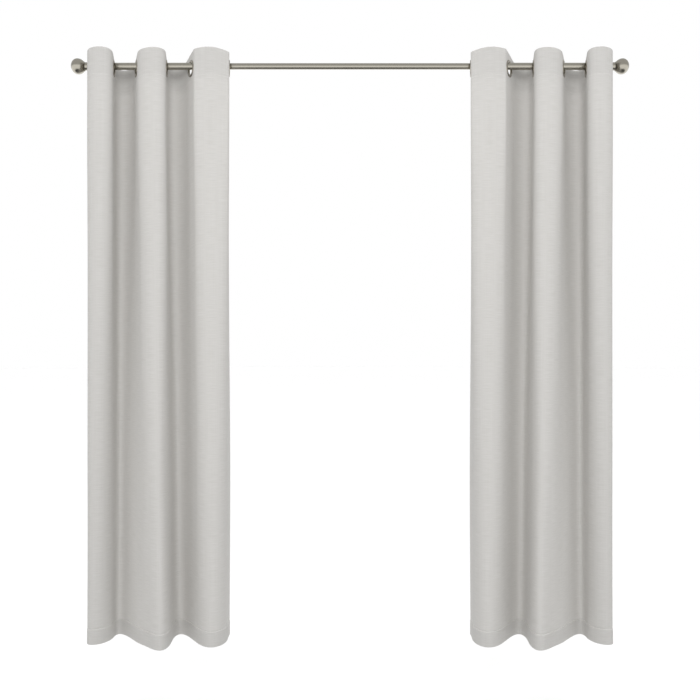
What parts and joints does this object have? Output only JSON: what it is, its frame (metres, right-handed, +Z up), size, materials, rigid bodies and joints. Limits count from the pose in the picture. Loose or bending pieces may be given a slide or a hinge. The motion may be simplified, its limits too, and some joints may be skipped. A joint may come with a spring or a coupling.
{
  "type": "window curtains on a rod",
  "caption": "A pair of eyelet-top fabric curtain panels drawn open on a telescoping metal rod with ball finials and wall brackets.",
  "frame": {"origin": "on the wall, midway between the two bracket plates, at the height of the rod's axis", "axes": "+X along the rod to the right as seen from the room, +Y into the wall, +Z up"},
  "size_m": [2.026, 0.1754, 2.134],
  "materials": {
    "nickel": "brushed nickel plate",
    "eyelet_metal": "satin nickel plate",
    "zinc_screw": "zinc plate",
    "cloth": "plain weave, light grey"
  },
  "bodies": {
    "rod_and_brackets": {"inner_tube": "nickel", "left_wall_plate": "nickel", "left_wall_screw_lower": "zinc_screw", "left_wall_screw_upper": "zinc_screw", "left_bracket_arm": "nickel", "left_rod_cradle": "nickel", "left_cloth_strip_1": "cloth", "left_eyelet_1_face": "eyelet_metal", "left_eyelet_1_back": "eyelet_metal", "right_wall_plate": "nickel", "right_wall_screw_lower": "zinc_screw", "right_wall_screw_upper": "zinc_screw", "right_bracket_arm": "nickel", "right_rod_cradle": "nickel", "right_cloth_strip_1": "cloth", "right_eyelet_1_face": "eyelet_metal", "right_eyelet_1_back": "eyelet_metal"},
    "left_outer_tube_body": {"left_outer_tube": "nickel", "left_finial_ball": "nickel", "left_finial_collar": "nickel", "left_finial_plug": "zinc_screw"},
    "left_thumb_screw_body": {"left_thumb_screw": "nickel"},
    "left_eyelet_2_body": {"left_cloth_strip_2": "cloth", "left_eyelet_2_face": "eyelet_metal", "left_eyelet_2_back": "eyelet_metal"},
    "left_eyelet_3_body": {"left_cloth_strip_3": "cloth", "left_eyelet_3_face": "eyelet_metal", "left_eyelet_3_back": "eyelet_metal"},
    "left_eyelet_4_body": {"left_cloth_strip_4": "cloth", "left_eyelet_4_face": "eyelet_metal", "left_eyelet_4_back": "eyelet_metal"},
    "left_eyelet_5_body": {"left_cloth_strip_5": "cloth", "left_eyelet_5_face": "eyelet_metal", "left_eyelet_5_back": "eyelet_metal"},
    "left_eyelet_6_body": {"left_cloth_strip_6": "cloth", "left_eyelet_6_face": "eyelet_metal", "left_eyelet_6_back": "eyelet_metal"},
    "right_outer_tube_body": {"right_outer_tube": "nickel", "right_finial_ball": "nickel", "right_finial_collar": "nickel", "right_finial_plug": "zinc_screw"},
    "right_thumb_screw_body": {"right_thumb_screw": "nickel"},
    "right_eyelet_2_body": {"right_cloth_strip_2": "cloth", "right_eyelet_2_face": "eyelet_metal", "right_eyelet_2_back": "eyelet_metal"},
    "right_eyelet_3_body": {"right_cloth_strip_3": "cloth", "right_eyelet_3_face": "eyelet_metal", "right_eyelet_3_back": "eyelet_metal"},
    "right_eyelet_4_body": {"right_cloth_strip_4": "cloth", "right_eyelet_4_face": "eyelet_metal", "right_eyelet_4_back": "eyelet_metal"},
    "right_eyelet_5_body": {"right_cloth_strip_5": "cloth", "right_eyelet_5_face": "eyelet_metal", "right_eyelet_5_back": "eyelet_metal"},
    "right_eyelet_6_body": {"right_cloth_strip_6": "cloth", "right_eyelet_6_face": "eyelet_metal", "right_eyelet_6_back": "eyelet_metal"}
  },
  "joints": [
    {"name": "left_tube_slide", "type": "slide", "parent": "rod_and_brackets", "child": "left_outer_tube_body", "axis": [-1, 0, 0], "range_m": [0, 0.1]},
    {"name": "left_thumb_screw_turn", "type": "hinge", "parent": "rod_and_brackets", "child": "left_thumb_screw_body", "pos_m": [-0.908, -0.095, -0.02], "axis": [0, 0, -1], "range_deg": [0, 720]},
    {"name": "left_eyelet_2_slide", "type": "slide", "parent": "rod_and_brackets", "child": "left_eyelet_2_body", "axis": [1, 0, 0], "range_m": [0, 0.094]},
    {"name": "left_eyelet_3_slide", "type": "slide", "parent": "left_eyelet_2_body", "child": "left_eyelet_3_body", "axis": [1, 0, 0], "range_m": [0, 0.057]},
    {"name": "left_eyelet_4_slide", "type": "slide", "parent": "left_eyelet_3_body", "child": "left_eyelet_4_body", "axis": [1, 0, 0], "range_m": [0, 0.072]},
    {"name": "left_eyelet_5_slide", "type": "slide", "parent": "left_eyelet_4_body", "child": "left_eyelet_5_body", "axis": [1, 0, 0], "range_m": [0, 0.088]},
    {"name": "left_eyelet_6_slide", "type": "slide", "parent": "left_eyelet_5_body", "child": "left_eyelet_6_body", "axis": [1, 0, 0], "range_m": [0, 0.047]},
    {"name": "right_tube_slide", "type": "slide", "parent": "rod_and_brackets", "child": "right_outer_tube_body", "axis": [1, 0, 0], "range_m": [0, 0.1]},
    {"name": "right_thumb_screw_turn", "type": "hinge", "parent": "rod_and_brackets", "child": "right_thumb_screw_body", "pos_m": [0.908, -0.095, -0.02], "axis": [0, 0, -1], "range_deg": [0, 720]},
    {"name": "right_eyelet_2_slide", "type": "slide", "parent": "rod_and_brackets", "child": "right_eyelet_2_body", "axis": [-1, 0, 0], "range_m": [0, 0.094]},
    {"name": "right_eyelet_3_slide", "type": "slide", "parent": "right_eyelet_2_body", "child": "right_eyelet_3_body", "axis": [-1, 0, 0], "range_m": [0, 0.057]},
    {"name": "right_eyelet_4_slide", "type": "slide", "parent": "right_eyelet_3_body", "child": "right_eyelet_4_body", "axis": [-1, 0, 0], "range_m": [0, 0.072]},
    {"name": "right_eyelet_5_slide", "type": "slide", "parent": "right_eyelet_4_body", "child": "right_eyelet_5_body", "axis": [-1, 0, 0], "range_m": [0, 0.088]},
    {"name": "right_eyelet_6_slide", "type": "slide", "parent": "right_eyelet_5_body", "child": "right_eyelet_6_body", "axis": [-1, 0, 0], "range_m": [0, 0.047]}
  ],
  "couplings": [
    {"joint": "left_eyelet_3_slide", "follows": "left_eyelet_2_slide", "ratio": 0.606},
    {"joint": "left_eyelet_4_slide", "follows": "left_eyelet_2_slide", "ratio": 0.766},
    {"joint": "left_eyelet_5_slide", "follows": "left_eyelet_2_slide", "ratio": 0.936},
    {"joint": "left_eyelet_6_slide", "follows": "left_eyelet_2_slide", "ratio": 0.5},
    {"joint": "right_eyelet_3_slide", "follows": "right_eyelet_2_slide", "ratio": 0.606},
    {"joint": "right_eyelet_4_slide", "follows": "right_eyelet_2_slide", "ratio": 0.766},
    {"joint": "right_eyelet_5_slide", "follows": "right_eyelet_2_slide", "ratio": 0.936},
    {"joint": "right_eyelet_6_slide", "follows": "right_eyelet_2_slide", "ratio": 0.5}
  ]
}
